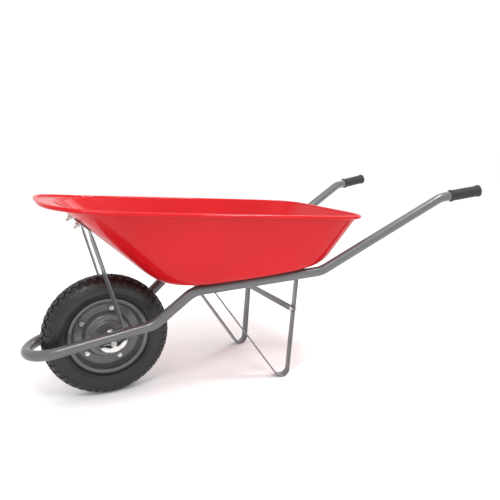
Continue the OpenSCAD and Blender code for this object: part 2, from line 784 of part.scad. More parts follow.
// Tyre: a rounded section with two beads that sit between the flanges
section_r = (tyre_r + seat_r) / 2 - 0.3;    // radius at which the tyre is widest
section_power = 2.3;
bead_toe = 18;
tyre_wall = 7;
heel = 1.3;                 // chamfer of the bead's heel, clear of the rim's rounded corner
side_y = rim_half_w - rim_t - seat_gap;
function section_point(a, half_w, half_h) =
    [section_r + half_h * spow(sin(a), 2 / section_power), half_w * spow(cos(a), 2 / section_power)];
tyre_out = [for (a = [-40 : 10 : 220]) section_point(a, tyre_half_w, tyre_r - section_r)];
tyre_in = [for (a = [-50 : 10 : 230]) section_point(a, tyre_half_w - tyre_wall, tyre_r - section_r - tyre_wall)];
bead_foot = seat_r + seat_gap;
flange_clear = flange_r + 2;

module tyre() {
    color([0.1, 0.1, 0.1]) placed() on_axle() rotate_extrude() polygon(concat(
        [[bead_foot, side_y - heel], [bead_foot + heel, side_y], [flange_clear, side_y]],
        tyre_out,
        [[flange_clear, -side_y], [bead_foot + heel, -side_y], [bead_foot, heel - side_y], [bead_foot, -bead_toe]],
        [for (i = [len(tyre_in) - 1 : -1 : 0]) tyre_in[i]],
        [[bead_foot, bead_toe]]));
}

tube_skin = 2;
module inner_tube() {
    h = tyre_r - section_r - tyre_wall - seat_gap;
    w = tyre_half_w - tyre_wall - seat_gap;
    color([0.15, 0.15, 0.15]) placed() difference() {
        on_axle() rotate_extrude() difference() {
            polygon([for (a = [0 : 10 : 350]) section_point(a, w, h)]);
            polygon([for (a = [0 : 10 : 350]) section_point(a, w - tube_skin, h - tube_skin)]);
        }
        at_valve() cylinder(r = valve_r + fit, h = tyre_r);
    }
}

// On the valve's axis: Z points out along the wheel's radius
module at_valve() {
    translate([0, valve_y, axle_z]) rotate([0, 90 - valve_turn, 0]) children();
}

valve_low = 62;
valve_in_tube = 10;         // how far the stem runs into the inner tube
valve_high = 2 * section_r - tyre_r + tyre_wall + valve_in_tube;
cap_l = 12;
cap_r = 4.6;

module valve_stem() {
    color("black") placed() at_valve() {
        translate([0, 0, valve_low]) cylinder(r = valve_r, h = valve_high - valve_low);
        translate([0, 0, valve_low - cap_l + 3]) cylinder(r = 2.6, h = cap_l);
    }
}

module valve_cap() {
    color("black") placed() at_valve() difference() {
        translate([0, 0, valve_low - cap_l]) cylinder(r = cap_r - 0.6, h = cap_l - seat_gap);
        translate([0, 0, valve_low - cap_l + 2]) cylinder(r = 2.6 + fit, h = cap_l);
    }
}

// ---- Grips ----
module left_grip_solid() {
    flange_l = 5;
    aim(grip_end - grip_dir * grip_l, grip_dir) difference() {
        union() {
            cylinder(r = grip_r, h = grip_l);
            cylinder(r = grip_flange_r, h = flange_l);
            translate([0, 0, grip_l - grip_cap_t]) cylinder(r = grip_flange_r, h = grip_cap_t);
        }
        translate([0, 0, -end_cut]) cylinder(r = tube_r + fit, h = grip_l - grip_cap_t + 2 + 2 * end_cut);
    }
}

module left_grip() {
    color([0.12, 0.12, 0.12]) placed() left_grip_solid();
}

module right_grip() {
    color([0.12, 0.12, 0.12]) placed() mirror([0, 1, 0]) left_grip_solid();
}

frame_tube();
front_cross_strap();
rear_cross_strap();
tray();
tray_bolts();
tray_washers();
tray_nuts();
left_leg();
right_leg();
leg_crossbar();
crossbar_bolts();
crossbar_nuts();
left_brace();
right_brace();
brace_bolts();
brace_washers();
brace_nuts();
left_axle_saddle();
right_axle_saddle();
saddle_bolts();
saddle_washers();
saddle_nuts();
left_grip();
right_grip();
axle();
left_axle_spacer();
right_axle_spacer();
left_bearing_inner_ring();
right_bearing_inner_ring();
left_bearing_outer_ring();
right_bearing_outer_ring();
left_bearing_balls();
right_bearing_balls();
hub();
left_rim_half();
right_rim_half();
rim_bolts();
rim_nuts();
tyre();
inner_tube();
valve_stem();
valve_cap();
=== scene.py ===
import json
import math

import bmesh
import bpy
from mathutils import Matrix, Vector


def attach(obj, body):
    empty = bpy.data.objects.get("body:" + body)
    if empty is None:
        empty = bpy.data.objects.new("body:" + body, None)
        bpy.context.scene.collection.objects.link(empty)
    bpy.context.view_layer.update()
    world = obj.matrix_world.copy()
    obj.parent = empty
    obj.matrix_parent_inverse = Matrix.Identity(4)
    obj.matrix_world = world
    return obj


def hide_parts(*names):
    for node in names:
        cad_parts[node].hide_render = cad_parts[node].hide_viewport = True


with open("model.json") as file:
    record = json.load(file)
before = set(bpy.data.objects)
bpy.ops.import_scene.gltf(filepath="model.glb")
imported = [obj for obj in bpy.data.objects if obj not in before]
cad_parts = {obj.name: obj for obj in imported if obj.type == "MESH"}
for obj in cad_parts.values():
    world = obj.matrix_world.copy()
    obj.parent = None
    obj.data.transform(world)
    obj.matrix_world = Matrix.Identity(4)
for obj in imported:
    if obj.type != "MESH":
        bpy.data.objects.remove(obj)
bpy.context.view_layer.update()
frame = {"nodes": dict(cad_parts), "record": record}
record = frame["record"]

MM = 0.001
axle = Vector(record["behaviour"]["joints"][0]["pos_m"])


# ---------------------------------------- camera and stage
def make_camera():
    data = bpy.data.cameras.new("camera")
    data.sensor_width = 36.0
    data.lens = 39.02
    data.shift_x = -0.1143
    data.shift_y = 0.0113
    data.dof.use_dof = False
    data.clip_start, data.clip_end = 0.05, 100.0
    cam = bpy.data.objects.new("camera", data)
    bpy.context.scene.collection.objects.link(cam)
    cam.location = (axle.x - 0.24147, -1.58855, 0.71914)
    cam.rotation_euler = (math.pi / 2 - 0.207, 0.0, -0.522)
    bpy.context.scene.camera = cam


def make_stage():
    mesh = bpy.data.meshes.new("floor")
    s = 30.0
    mesh.from_pydata([(-s, -s, 0), (s, -s, 0), (s, s, 0), (-s, s, 0)], [], [(0, 1, 2, 3)])
    floor = bpy.data.objects.new("floor", mesh)
    bpy.context.scene.collection.objects.link(floor)
    mat = bpy.data.materials.new("floor_pale")
    mat.use_nodes = True
    b = mat.node_tree.nodes["Principled BSDF"]
    b.inputs["Base Color"].default_value = (0.985, 0.985, 0.985, 1)
    b.inputs["Roughness"].default_value = 0.9
    b.inputs["Specular IOR Level"].default_value = 0.1
    mesh.materials.append(mat)

    world = bpy.data.worlds.new("studio")
    world.use_nodes = True
    bg = world.node_tree.nodes["Background"]
    bg.inputs["Color"].default_value = (1.0, 1.0, 1.0, 1)
    bg.inputs["Strength"].default_value = 1.05
    bpy.context.scene.world = world
    bpy.context.scene.view_settings.view_transform = "Standard"
    bpy.context.scene.view_settings.look = "None"


def area_light(name, pos, target, size, power, spread=math.pi):
    data = bpy.data.lights.new(name, "AREA")
    data.shape = "RECTANGLE"
    data.size, data.size_y = size
    data.energy = power
    data.spread = spread
    light = bpy.data.objects.new(name, data)
    light.location = Vector(pos)
    light.rotation_euler = (Vector(target) - Vector(pos)).to_track_quat("-Z", "Y").to_euler()
    bpy.context.scene.collection.objects.link(light)
    return light


make_camera()
make_stage()
area_light("key_top", (-1.1, -1.5, 2.3), (0, 0, 0.4), (0.9, 0.5), 22)
area_light("softbox_over_tray", (0.55, -0.75, 2.0), (0, 0.1, 0.45), (0.45, 0.16), 16)
area_light("fill_rear", (1.6, 1.6, 2.0), (0, 0, 0.4), (1.2, 1.2), 12)


# ---------------------------------------- materials
def new_material(name):
    m = bpy.data.materials.new(name)
    m.use_nodes = True
    return m, m.node_tree, m.node_tree.nodes["Principled BSDF"]


def node(nt, kind, **inputs):
    n = nt.nodes.new(kind)
    for k, v in inputs.items():
        key = k.replace("_", " ")
        n.inputs[key].default_value = v
    return n


def noise_fac(nt, coords, scale, detail=2.0, rough=0.5):
    n = node(nt, "ShaderNodeTexNoise", Scale=scale, Detail=detail, Roughness=rough)
    nt.links.new(coords, n.inputs["Vector"])
    return n.outputs["Fac"]


def ramp(nt, fac, low, high, color_low, color_high):
    r = nt.nodes.new("ShaderNodeValToRGB")
    e = r.color_ramp.elements
    e[0].position, e[1].position = low, high
    e[0].color, e[1].color = (*color_low, 1), (*color_high, 1)
    nt.links.new(fac, r.inputs["Fac"])
    return r.outputs["Color"]


def remap(nt, fac, a, b, c, d):
    m = node(nt, "ShaderNodeMapRange")
    for key, v in (("From Min", a), ("From Max", b), ("To Min", c), ("To Max", d)):
        m.inputs[key].default_value = v
    nt.links.new(fac, m.inputs["Value"])
    return m.outputs["Result"]


def vary_roughness(nt, b, coords, scale, detail, low, high):
    nt.links.new(remap(nt, noise_fac(nt, coords, scale, detail), 0.3, 0.7, low, high), b.inputs["Roughness"])


def bump(nt, height, distance, strength=1.0, normal=None):
    b = nt.nodes.new("ShaderNodeBump")
    b.inputs["Strength"].default_value = strength
    b.inputs["Distance"].default_value = distance
    nt.links.new(height, b.inputs["Height"])
    if normal is not None:
        nt.links.new(normal, b.inputs["Normal"])
    return b.outputs["Normal"]


def coords_of(nt):
    return nt.nodes.new("ShaderNodeTexCoord").outputs["Object"]


def paint(name, color, dark, metallic, rough, coat, peel_scale, peel_depth, specular=0.5):
    m, nt, b = new_material(name)
    c = coords_of(nt)
    tone = noise_fac(nt, c, 6.0, 4.0)
    nt.links.new(ramp(nt, tone, 0.35, 0.7, dark, color), b.inputs["Base Color"])
    b.inputs["Metallic"].default_value = metallic
    vary_roughness(nt, b, c, 40.0, 4.0, rough * 0.85, rough * 1.2)
    b.inputs["Specular IOR Level"].default_value = specular
    b.inputs["Coat Weight"].default_value = coat
    b.inputs["Coat Roughness"].default_value = 0.06
    n = bump(nt, noise_fac(nt, c, peel_scale, 1.0), peel_depth)
    nt.links.new(n, b.inputs["Normal"])
    nt.links.new(n, b.inputs["Coat Normal"])
    return m


def steel(name, color, rough, grain_scale=(300.0, 300.0, 40.0)):
    m, nt, b = new_material(name)
    c = coords_of(nt)
    mapping = nt.nodes.new("ShaderNodeMapping")
    mapping.inputs["Scale"].default_value = grain_scale
    nt.links.new(c, mapping.inputs["Vector"])
    grain = noise_fac(nt, mapping.outputs["Vector"], 3.0, 3.0)
    stain = noise_fac(nt, c, 60.0, 3.0)
    nt.links.new(ramp(nt, stain, 0.3, 0.75, [x * 0.78 for x in color], color), b.inputs["Base Color"])
    b.inputs["Metallic"].default_value = 1.0
    nt.links.new(remap(nt, grain, 0.3, 0.7, rough * 0.8, rough * 1.25), b.inputs["Roughness"])
    nt.links.new(bump(nt, grain, 0.00004), b.inputs["Normal"])
    return m


def rubber(name, color, dust, rough, grain, depth):
    m, nt, b = new_material(name)
    c = coords_of(nt)
    nt.links.new(ramp(nt, noise_fac(nt, c, 25.0, 5.0), 0.4, 0.75, color, dust), b.inputs["Base Color"])
    vary_roughness(nt, b, c, 60.0, 3.0, rough * 0.85, rough * 1.15)
    b.inputs["Specular IOR Level"].default_value = 0.5
    nt.links.new(bump(nt, noise_fac(nt, c, grain, 3.0), depth), b.inputs["Normal"])
    return m


MATERIALS = {
    "tray_paint": paint("tray_paint", (0.56, 0.0010, 0.006), (0.51, 0.0008, 0.005),
                        0.0, 0.42, 0.45, 220.0, 0.00016, 0.08),
    "frame_paint": paint("frame_paint", (0.128, 0.131, 0.135), (0.112, 0.115, 0.119),
                         0.35, 0.33, 0.35, 500.0, 0.00005),
    "rim_paint": paint("rim_paint", (0.130, 0.132, 0.135), (0.115, 0.117, 0.12),
                       0.25, 0.36, 0.3, 400.0, 0.00006),
    "zinc": steel("zinc", (0.82, 0.82, 0.80), 0.30),
    "bare_steel": steel("bare_steel", (0.42, 0.42, 0.43), 0.38),
    "bearing_steel": steel("bearing_steel", (0.62, 0.62, 0.64), 0.16),
    "tyre_rubber": rubber("tyre_rubber", (0.008, 0.008, 0.009), (0.014, 0.014, 0.014), 0.42, 900.0, 0.00006),
    "tube_rubber": rubber("tube_rubber", (0.02, 0.02, 0.021), (0.028, 0.028, 0.028), 0.55, 700.0, 0.00005),
    "grip_rubber": rubber("grip_rubber", (0.014, 0.014, 0.015), (0.021, 0.021, 0.021), 0.5, 1100.0, 0.00005),
}

for entry in record["subparts"]:
    obj = frame["nodes"][entry["node"]]
    obj.data.materials.clear()
    obj.data.materials.append(MATERIALS[entry["material_slot"]])

# ---------------------------------------- mesh helpers
def add_piece(name, verts, faces, slot, body, stands_for=(), sharp=35.0):
    mesh = bpy.data.meshes.new(name)
    mesh.from_pydata([tuple(v) for v in verts], [], [tuple(f) for f in faces])
    bm = bmesh.new()
    bm.from_mesh(mesh)
    bmesh.ops.remove_doubles(bm, verts=bm.verts, dist=1e-6)
    bmesh.ops.recalc_face_normals(bm, faces=bm.faces)
    bm.to_mesh(mesh)
    bm.free()
    mesh.shade_smooth()
    mesh.set_sharp_from_angle(angle=math.radians(sharp))
    mesh.materials.append(MATERIALS[slot])
    obj = bpy.data.objects.new(name, mesh)
    bpy.context.scene.collection.objects.link(obj)
    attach(obj, body)
    if stands_for:
        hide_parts(*stands_for)
    return obj


class Shape:
    """Verts and faces that are gathered before they become one piece."""

    def __init__(self):
        self.verts, self.faces = [], []

    def add(self, verts, faces, matrix=None):
        n = len(self.verts)
        for v in verts:
            v = Vector(v)
            self.verts.append(matrix @ v if matrix is not None else v)
        self.faces += [[n + i for i in f] for f in faces]
        return self

    def copy_to(self, other, matrix=None):
        other.add(self.verts, self.faces, matrix)


def rounded(points, radii, steps=4, closed=False):
    """The polyline with its corners rounded. radii is one number, or one for each point."""
    n = len(points)
    radii = [radii] * n if isinstance(radii, (int, float)) else radii
    out = []
    for i, p in enumerate(points):
        p = Vector(p)
        if (not closed and i in (0, n - 1)) or radii[i] <= 0:
            out.append(p)
            continue
        a, b = Vector(points[i - 1]), Vector(points[(i + 1) % n])
        u, w = (a - p), (b - p)
        la, lb = u.length, w.length
        u, w = u / la, w / lb
        half = math.acos(max(-1, min(1, u.dot(w)))) / 2
        if half > math.radians(88.5):
            out.append(p)
            continue
        cut = min(radii[i] / math.tan(half), la * 0.48, lb * 0.48)
        r = cut * math.tan(half)
        centre = p + (u + w).normalized() * (r / math.sin(half))
        s, e = p + u * cut - centre, p + w * cut - centre
        total = s.angle(e)
        for k in range(steps + 1):
            t = k / steps
            if total < 1e-6:
                out.append(centre + s)
                break
            out.append(centre + (s * math.sin((1 - t) * total) + e * math.sin(t * total)) / math.sin(total))
    return out


def lathe(profile, turns=128, closed=True, matrix=None):
    """Turns (radius, height) points about Z."""
    m = len(profile)
    verts, faces = [], []
    for i in range(turns):
        a = 2 * math.pi * i / turns
        c, s = math.cos(a), math.sin(a)
        verts += [(p[0] * c, p[0] * s, p[1]) for p in profile]
    for i in range(turns):
        j = (i + 1) % turns
        for k in range(m if closed else m - 1):
            n = (k + 1) % m
            faces.append((i * m + k, j * m + k, j * m + n, i * m + n))
    if not closed:
        faces.append([i * m for i in range(turns)][::-1])
        faces.append([i * m + m - 1 for i in range(turns)])
    return Shape().add(verts, faces, matrix)


def bar_section(width, thickness, radius=0.8):
    w, t = width / 2, thickness / 2
    return [tuple(p) for p in rounded([(-w, -t), (w, -t), (w, t), (-w, t)], radius, 3, True)]


def even(path, step):
    """The path with points added so that none are farther apart than step."""
    out = [Vector(path[0])]
    for a, b in zip(path, path[1:]):
        a, b = Vector(a), Vector(b)
        k = max(1, math.ceil((b - a).length / step))
        out += [a.lerp(b, i / k) for i in range(1, k + 1)]
    return out


def rot(axis, degrees):
    return Matrix.Rotation(math.radians(degrees), 4, axis)


def move(x, y, z):
    return Matrix.Translation((x, y, z))


MIRROR = Matrix.Scale(-1, 4, (0, 1, 0))
PLACE = move(axle.x, 0, 0) @ Matrix.Scale(MM, 4)     # millimetres from the axle's foot to the row frame
FACE_LEFT = rot("X", 90)                              # Z to -Y
FACE_RIGHT = rot("X", -90)                            # Z to +Y


# ---------------------------------------- sizes that the CAD also uses, in millimetres
TYRE_R = axle.z / MM
TUBE_R = 15.0
SPLAY = math.radians(5.54)
RISE = 9.34
NOSE_R, NOSE_REACH, RAIL_OVER_AXLE = 80.5, 210.3, 17.5
RAIL_DROP = RAIL_OVER_AXLE * math.cos(math.radians(RISE))
LOOP_U = NOSE_R - NOSE_REACH / math.cos(math.radians(RISE))
RAIL_HALF_GAP = NOSE_R * math.cos(SPLAY) - (LOOP_U - NOSE_R * math.sin(SPLAY)) * math.tan(SPLAY)
KNEE_HIGH, HANDLE_KNEE = Vector((224.8, -124.6, 299.8)), Vector((594.7, -220.3, 335.1))
GRIP_KNEE, GRIP_SEAT = Vector((989, -300.7, 545)), Vector((1122.3, -326.8, 562.2))
FLOOR_SLOPE = (HANDLE_KNEE.z - KNEE_HIGH.z) / (HANDLE_KNEE.x - KNEE_HIGH.x)
FLOOR_TILT = math.atan(FLOOR_SLOPE)
SEAT, TRAY_T, STRAP_T, BEAD_R = 0.1, 1.5, 4.0, 5.7
FLOOR_ABOVE_RAIL = TUBE_R / math.cos(FLOOR_TILT) + STRAP_T + TRAY_T + 2 * SEAT
FLOOR_Z0 = KNEE_HIGH.z + FLOOR_ABOVE_RAIL - FLOOR_SLOPE * KNEE_HIGH.x
RIM_FRONT, RIM_REAR = 148.0, 748.0
BLEND = 0.19
FRONT_LIP, LEDGE = 35.0, 1.5
FLOOR_FRONT, FLOOR_REAR = 297 - RIM_FRONT, RIM_REAR - 96
WHEEL = move(0, 0, TYRE_R)
HEX, BOLT_R, WASHER_R, WASHER_T, NUT_H, HEAD_H = 13.0, 4.0, 9.5, 1.6, 6.5, 5.3
AXLE_R, SADDLE_W, SADDLE_T, RIM_BOLT_CIRCLE_R, STRAP_W = 8.0, 28.0, 3.0, 77.0, 30.0
TRAY_MID_X, TRAY_HALF_W, TRAY_TAPER, FLOOR_NARROW = 250.0, 241.0, 0.05, 113.6


# ---------------------------------------- the tray
def spow(a, e):
    return math.copysign(abs(a) ** e, a)


def floor_z(x):
    return FLOOR_Z0 + FLOOR_SLOPE * x


def rim_z(x):
    return 549.5 - 0.0785 * x + 8 * (max(0.0, 50 - x) / (50 + RIM_FRONT)) ** 2


def outline(a, mid, front, rear, half_w0, taper, power_f, power_r):
    c, s = math.cos(math.radians(a)), math.sin(math.radians(a))
    n = power_f if c < 0 else power_r
    x = mid + (mid - front if c < 0 else rear - mid) * spow(c, 2 / n)
    return Vector((x, (half_w0 + taper * x) * spow(s, 2 / n)))


def rim_at(a, grow):
    return outline(a, TRAY_MID_X, -RIM_FRONT - grow, RIM_REAR + grow, TRAY_HALF_W + grow, TRAY_TAPER, 4.2, 7)


def floor_at(a):
    return outline(a, 332, FLOOR_FRONT, FLOOR_REAR, TRAY_HALF_W - FLOOR_NARROW, 0.198, 3.4, 4)


def wall_top_at(a):
    back = BEAD_R + LEDGE
    return outline(a, TRAY_MID_X, -RIM_FRONT + BEAD_R + FRONT_LIP, RIM_REAR - back, TRAY_HALF_W - back,
                   TRAY_TAPER, 3.55, 7)


def rim_out(a):
    d = rim_at(a + 0.5, 0) - rim_at(a - 0.5, 0)
    return Vector((d.y, -d.x)).normalized()


def sheet(a, p, q):
    f, r = floor_at(a), wall_top_at(a)
    run = r - f
    return Vector((f.x + run.x * p, f.y + run.y * p,
                   floor_z(f.x + run.x * min(p, 0)) + q * (rim_z(r.x) - floor_z(f.x))))


def sheet_steps(blend_n, wall_n):
    out = []
    for i in range(blend_n + 1):
        t = i / blend_n
        out.append((BLEND * (t * t - (1 - t) ** 2), BLEND * t * t))
    out += [(BLEND + (1 - BLEND) * i / wall_n,) * 2 for i in range(1, wall_n + 1)]
    return out


def even_angles(count):
    """Angles whose rim points stand at even distances, so that the squarish corners get enough of them."""
    fine = [i * 0.05 for i in range(7200)]
    pts = [rim_at(a, 0) for a in fine]
    run = [0.0]
    for a, b in zip(pts, pts[1:] + pts[:1]):
        run.append(run[-1] + (b - a).length)
    out, k = [], 0
    for i in range(count):
        want = run[-1] * i / count
        while run[k + 1] < want:
            k += 1
        t = (want - run[k]) / max(1e-9, run[k + 1] - run[k])
        out.append((k + t) * 0.05)
    return out


def make_tray():
    around = 400
    angles = even_angles(around)
    steps = sheet_steps(22, 20)
    inner = [[sheet(a, p, q) for a in angles] for p, q in steps]
    outer = []
    for k, ring in enumerate(inner):
        up, down = inner[min(k + 1, len(inner) - 1)], inner[max(k - 1, 0)]
        row = []
        for i, v in enumerate(ring):
            along = ring[(i + 1) % around] - ring[i - 1]
            n = along.cross(up[i] - down[i]).normalized()
            row.append(v + (n if n.z < 0 else -n) * TRAY_T)
        outer.append(row)
    for i in range(around):
        outer[0][i] = inner[0][i] - Vector((0, 0, TRAY_T))
    rings = list(inner)
    edge = [Vector((c.x, c.y, rim_z(c.x))) for c in (rim_at(a, -BEAD_R) for a in angles)]
    rings += [[v.lerp(e, t) for v, e in zip(inner[-1], edge)] for t in (0.12, 0.35, 0.65, 0.88)]
    roll = 28
    centres = [(rim_at(a, 0), rim_out(a), rim_z(rim_at(a, -BEAD_R).x)) for a in angles]
    for i in range(roll + 1):
        turn = math.radians(180 - 322 * i / roll)
        rings.append([Vector((c.x + o.x * BEAD_R * math.cos(turn), c.y + o.y * BEAD_R * math.cos(turn),
                              z + BEAD_R * math.sin(turn))) for c, o, z in centres])
    under = Vector((0, 0, TRAY_T))
    rings += [[v.lerp(e, t) - under for v, e in zip(inner[-1], edge)] for t in (0.9, 0.5, 0.12)]
    rings += [outer[k] for k in range(len(outer) - 1, -1, -1)]
    verts, faces = [v for ring in rings for v in ring], []
    for k in range(len(rings) - 1):
        for i in range(around):
            j = (i + 1) % around
            faces.append((k * around + i, (k + 1) * around + i, (k + 1) * around + j, k * around + j))
    middle = (FLOOR_FRONT + FLOOR_REAR) / 2
    for base, drop in ((0, 0.0), ((len(rings) - 1) * around, TRAY_T)):
        centre = Vector((middle, 0, floor_z(middle) - drop))
        last = [base + i for i in range(around)]
        for share in (0.75, 0.5, 0.25):
            first = len(verts)
            for i in range(around):
                verts.append(centre.lerp(verts[base + i], share))
            now = [first + i for i in range(around)]
            for i in range(around):
                j = (i + 1) % around
                faces.append((last[i], last[j], now[j], now[i]))
            last = now
        verts.append(centre)
        for i in range(around):
            faces.append((last[i], last[(i + 1) % around], len(verts) - 1))
    s = Shape().add(verts, faces, PLACE)
    add_piece("tray_pressed", s.verts, s.faces, "tray_paint", "frame", ("tray",), 50)


# ---------------------------------------- fasteners, each with its bearing plane at z = 0
def thread(length, radius=BOLT_R, pitch=1.25, depth=0.55, tip=0.9):
    """A threaded rod from z = 0 up to length, closed at its end."""
    turns, per = ((28, 6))
    rows = max(2, int(length / pitch * per))
    verts, faces = [], []
    for k in range(rows + 1):
        z = length * k / rows
        for i in range(turns):
            f = (z / pitch - i / turns) % 1.0
            r = radius - depth * (1 - abs(2 * f - 1)) * (0.0 if k == 0 else 1.0)
            r = min(r, radius - max(0.0, z - (length - tip)) * 0.9)
            a = 2 * math.pi * i / turns
            verts.append((r * math.cos(a), r * math.sin(a), z))
    for k in range(rows):
        for i in range(turns):
            j = (i + 1) % turns
            faces.append((k * turns + i, k * turns + j, (k + 1) * turns + j, (k + 1) * turns + i))
    faces.append(list(range(turns))[::-1])
    faces.append([rows * turns + i for i in range(turns)])
    return Shape().add(verts, faces)


def hex_block(height, top_chamfer=True, bottom_chamfer=False, turns=72, flats=HEX):
    """A hexagon whose corners are turned off at 30 degrees, as on a real bolt head or nut."""
    levels = 5
    corner = flats / 2 / math.cos(math.pi / 6)
    verts, faces = [], []
    zs = [0.0] + [height * 0.12 * k / levels for k in range(1, levels + 1)]
    zs += [height * (0.80 + 0.20 * k / levels) for k in range(levels + 1)]
    for z in zs:
        for i in range(turns):
            a = 2 * math.pi * i / turns
            off = (a + math.pi / 6) % (math.pi / 3) - math.pi / 6
            r = flats / 2 / math.cos(off)
            lim = corner + 1
            if top_chamfer:
                lim = min(lim, flats / 2 * 0.96 + (height - z) / math.tan(math.radians(30)))
            if bottom_chamfer:
                lim = min(lim, flats / 2 * 0.96 + z / math.tan(math.radians(30)))
            r = min(r, lim)
            verts.append((r * math.cos(a), r * math.sin(a), z))
    m = len(zs)
    for k in range(m - 1):
        for i in range(turns):
            j = (i + 1) % turns
            faces.append((k * turns + i, k * turns + j, (k + 1) * turns + j, (k + 1) * turns + i))
    faces.append(list(range(turns))[::-1])
    faces.append([(m - 1) * turns + i for i in range(turns)])
    return Shape().add(verts, faces)


AXIS = 0.01        # how near to its axis a turned piece comes
CROWN_H = 0.35     # the low round crown on a bolt's head


def add_shank(s, length, tail):
    """The plain shank below z = 0 and the thread on its last length tail."""
    end = -(length - tail)
    lathe([(AXIS, 0.05), (BOLT_R, 0.05), (BOLT_R, end), (AXIS, end)], 32).copy_to(s)
    thread(tail).copy_to(s, move(0, 0, end) @ rot("X", 180))


def hex_bolt(length, tail):
    """Head above z = 0, shank below, threaded for its last length tail."""
    s = Shape()
    hex_block(HEAD_H).copy_to(s)
    low = HEAD_H - CROWN_H
    crown = rounded([(AXIS, HEAD_H), (HEX * 0.36, HEAD_H), (HEX * 0.34, low), (AXIS, low)], 0.1, 2)
    lathe([tuple(p) for p in crown], 48).copy_to(s, move(0, 0, CROWN_H + 0.01))
    add_shank(s, length, tail)
    return s


def hex_nut():
    s = hex_block(NUT_H, True, True)
    bottom, top = NUT_H - 0.7, NUT_H + 0.02
    mouth = [(0.05, bottom), (0.75, top), (0.95, top), (0.3, bottom)]
    lathe([(BOLT_R + r, z) for r, z in mouth], 40).copy_to(s)
    return s


def washer():
    bore = BOLT_R + 0.4
    prof = rounded([(bore, 0), (WASHER_R, 0), (WASHER_R, WASHER_T), (bore, WASHER_T)], 0.35, 3, True)
    return lathe([tuple(p) for p in prof], 72)


def dome_bolt(length, tail):
    s = Shape()
    r, h = 9.0, 3.5
    big = (r * r + h * h) / (2 * h)
    prof = [(AXIS, 0.0), (r - 0.3, 0.0), (r, 0.25)]
    for k in range(1, 13):
        a = math.asin(r / big) * (1 - k / 12)
        prof.append((max(AXIS, big * math.sin(a)), h - big + big * math.cos(a) + 0.02))
    lathe(prof, 56).copy_to(s)
    add_shank(s, length, tail)
    return s


def fasteners(node_name, shape, places, body="frame"):
    """Copies of one fastener, in the place of the CAD's node of that name."""
    s = Shape()
    for m in places:
        shape.copy_to(s, PLACE @ m)
    return add_piece(node_name[:-1] + "_set", s.verts, s.faces, "zinc", body, (node_name,), 28)


def both(m):
    return [m, MIRROR @ m]


# ---------------------------------------- frames of reference, as in the CAD
AT_RAIL = move(0, -RAIL_HALF_GAP, TYRE_R) @ rot("Y", -RISE)
LEG_YAW = math.degrees(math.atan(0.14))
FRONT_LEAN, REAR_LEAN, FOOT_R, LEG_T, LEG_W = 33.0, 6.3, 24.0, 4.0, 30.0
FOOT_X, LEG_PLAN_X, LEG_PLAN_Y = 483.2, 279.0, 137.0
LEG_MID_R = FOOT_R - LEG_T / 2
CROSS_Z, CROSS_H, CROSS_T = 212.0, 20.0, 3.0
CROSS_X = FOOT_X + LEG_MID_R * math.cos(math.radians(REAR_LEAN)) + (
    CROSS_Z - FOOT_R + LEG_MID_R * math.sin(math.radians(REAR_LEAN))) * math.tan(math.radians(REAR_LEAN))
LEG_PLANE = move(LEG_PLAN_X, -LEG_PLAN_Y, 0) @ rot("Z", -LEG_YAW) @ move(-LEG_PLAN_X, 0, 0)
AT_CROSS = LEG_PLANE @ move(CROSS_X, 0, CROSS_Z) @ rot("Y", REAR_LEAN) @ rot("Y", -90)
CROSS_OFF = LEG_T / 2 + SEAT
STRAP_X, STRAP_Y = (250.0, 541.0), (85.0, 120.0)


def on_floor(x):
    return move(x, 0, floor_z(x)) @ rot("Y", -math.degrees(FLOOR_TILT))


def tray_out_point(a, p, q):
    """A point of the tray's outer skin, as the CAD's sheet_out gives it."""
    o, s = rim_out(a), min(1, q / BLEND)
    return sheet(a, p, q) + TRAY_T * Vector((o.x * s, o.y * s, -1 + 0.7 * s))


BRACE_ANGLE, BRACE_SHARE, BRACE_SEAT = 190.0, 0.81, 0.4
BRACE_W, BRACE_T, TAB_UP, TAB_DOWN, BRACE_FOOT_X, BRACE_TURN = 22.0, 3.0, 16.0, 32.0, 36.0, 18.0
BRACE_AT = tray_out_point(BRACE_ANGLE, BRACE_SHARE, BRACE_SHARE)
BRACE_UP = (sheet(BRACE_ANGLE, 1, 1) - sheet(BRACE_ANGLE, BLEND, BLEND)).normalized()
ALONG_WALL = (sheet(BRACE_ANGLE + 1, BRACE_SHARE, BRACE_SHARE)
              - sheet(BRACE_ANGLE - 1, BRACE_SHARE, BRACE_SHARE)).normalized()
BRACE_OUT = ALONG_WALL.cross(BRACE_UP).normalized()
BRACE_ACROSS = BRACE_UP.cross(BRACE_OUT)
AT_BRACE = Matrix((
    (BRACE_UP.x, -BRACE_ACROSS.x, BRACE_OUT.x, BRACE_AT.x),
    (BRACE_UP.y, -BRACE_ACROSS.y, BRACE_OUT.y, BRACE_AT.y),
    (BRACE_UP.z, -BRACE_ACROSS.z, BRACE_OUT.z, BRACE_AT.z),
    (0, 0, 0, 1)))


